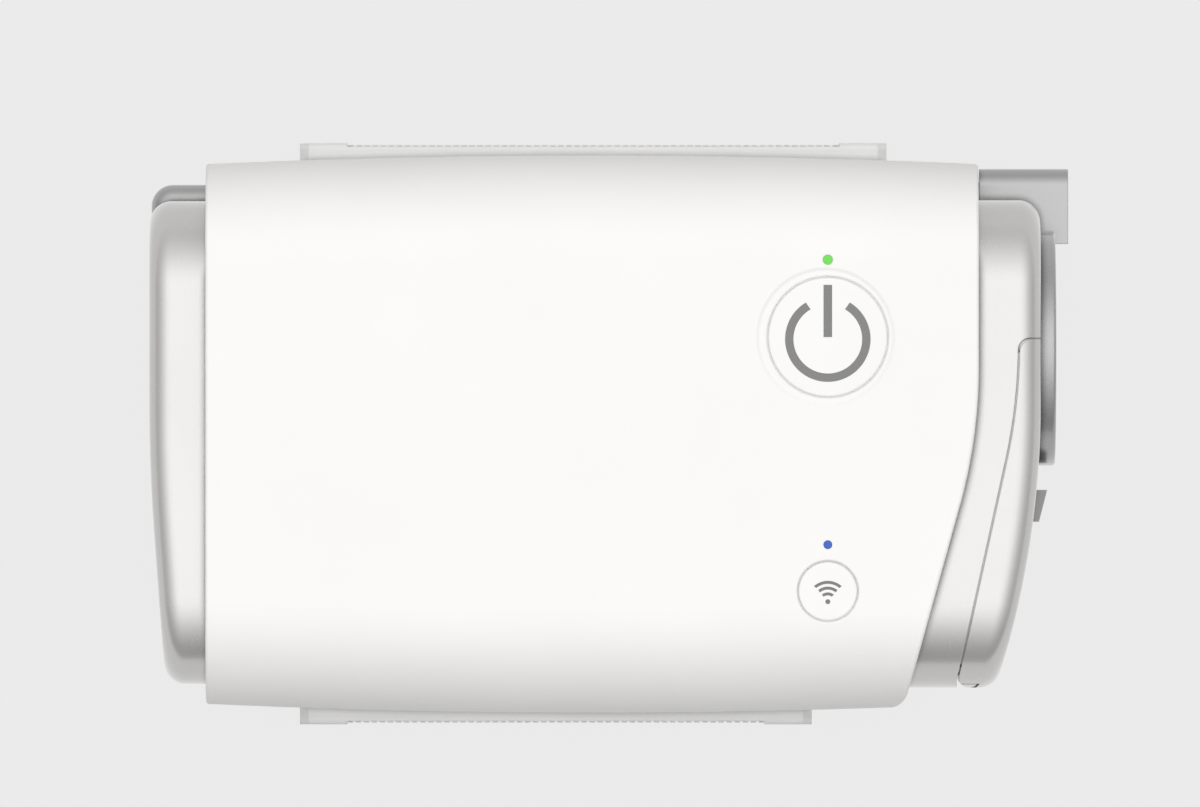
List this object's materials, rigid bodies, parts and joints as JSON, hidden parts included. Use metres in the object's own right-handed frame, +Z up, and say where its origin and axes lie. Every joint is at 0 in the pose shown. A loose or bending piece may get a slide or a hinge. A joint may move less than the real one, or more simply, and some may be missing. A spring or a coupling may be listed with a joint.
{
  "type": "travel cpap machine",
  "caption": "Small travel air pressure machine: rounded white casing with silver ends, push buttons, hinged filter cover, round air outlet, power socket and foot rails.",
  "frame": {"origin": "under the middle of the body, on the surface that it stands on", "axes": "+X along the body towards the air outlet, +Y towards the side of the power socket, +Z up through the buttons"},
  "size_m": [0.136, 0.0864, 0.052],
  "materials": {
    "white_casing": "satin white moulding",
    "white_button": "satin white moulding",
    "silver_cap": "warm silver paint, fine metallic",
    "grey_silver": "darker silver paint",
    "ring_grey": "darker silver paint, satin",
    "tab_grey": "satin",
    "foot_white": "matt pale grey",
    "grip_rubber": "matt pale grey, finely ribbed",
    "pad_rubber": "matt",
    "seal_rubber": "soft",
    "soft_duct": "soft, translucent",
    "inner_plastic": "matt",
    "structure_plastic": "matt",
    "impeller_plastic": "matt",
    "board_green": "solder resist",
    "chip_black": "matt",
    "capacitor_can": "satin",
    "contact_metal": "bright",
    "lead_insulation": "matt",
    "steel": "bright",
    "can_aluminium": "satin",
    "magnet": "plated",
    "stator_steel": "laminated",
    "winding_copper": "enamelled wire",
    "filter_felt": "felt pad",
    "foam": "open foam",
    "light_clear": "clear, lit",
    "light_blue": "clear, lit",
    "lamp": "lamp body"
  },
  "bodies": {
    "casing": {"top_shell": "white_casing", "base_shell": "white_casing", "left_end_cap": "silver_cap", "left_end_base": "grey_silver", "outlet_end_cap": "silver_cap", "filter_gasket": "seal_rubber", "cover_hinge_pin": "steel", "outlet_ring": "ring_grey", "outlet_seal": "seal_rubber", "power_inlet_housing": "grey_silver", "dc_socket": "inner_plastic", "dc_contacts": "contact_metal", "power_switch": "inner_plastic", "wireless_switch": "inner_plastic", "green_light_pipe": "light_clear", "blue_light_pipe": "light_blue", "indicator_leds": "lamp", "button_board": "board_green", "rear_foot_rail": "foot_white", "front_foot_rail": "foot_white", "rear_grip_strip": "grip_rubber", "front_grip_strip": "grip_rubber", "foot_pads": "pad_rubber", "chassis": "structure_plastic", "main_board": "board_green", "board_chips": "chip_black", "board_capacitors": "capacitor_can", "board_connectors": "inner_plastic", "ribbon_cable": "lead_insulation", "power_leads": "lead_insulation", "volute_base": "structure_plastic", "volute_cover": "structure_plastic", "blower_mounts": "seal_rubber", "bearing_outer_races": "steel", "motor_can": "can_aluminium", "motor_stator": "stator_steel", "motor_coils": "winding_copper", "motor_leads": "lead_insulation", "flow_tube": "structure_plastic", "outlet_bellows": "soft_duct", "flow_sensor": "inner_plastic", "silencer_foam": "foam", "inlet_duct": "structure_plastic", "case_screws": "steel", "board_screws": "steel", "blower_screws": "steel"},
    "filter_cover": {"filter_cover": "silver_cap", "cover_tab": "tab_grey", "air_filter": "filter_felt"},
    "power_button": {"power_button": "white_button", "power_switch_plunger": "inner_plastic"},
    "wireless_button": {"wireless_button": "white_button", "wireless_switch_plunger": "inner_plastic"},
    "rotor": {"impeller": "impeller_plastic", "motor_shaft": "steel", "rotor_magnet": "magnet", "bearing_inner_races": "steel"}
  },
  "joints": [
    {"name": "filter_cover_hinge", "type": "hinge", "parent": "casing", "child": "filter_cover", "pos_m": [0.05304, -0.036, 0.026], "axis": [0, 0, -1], "range_deg": [0, 90]},
    {"name": "power_button_press", "type": "slide", "parent": "casing", "child": "power_button", "axis": [0, 0, -1], "range_m": [0, 0.0006], "stiffness_N_per_m": 2500, "springref_m": -0.0003},
    {"name": "wireless_button_press", "type": "slide", "parent": "casing", "child": "wireless_button", "axis": [0, 0, -1], "range_m": [0, 0.0006], "stiffness_N_per_m": 2500, "springref_m": -0.0003},
    {"name": "rotor_spin", "type": "hinge", "parent": "casing", "child": "rotor", "pos_m": [-0.022, -0.0083, 0.026], "axis": [0, 0, 1], "continuous": true}
  ]
}
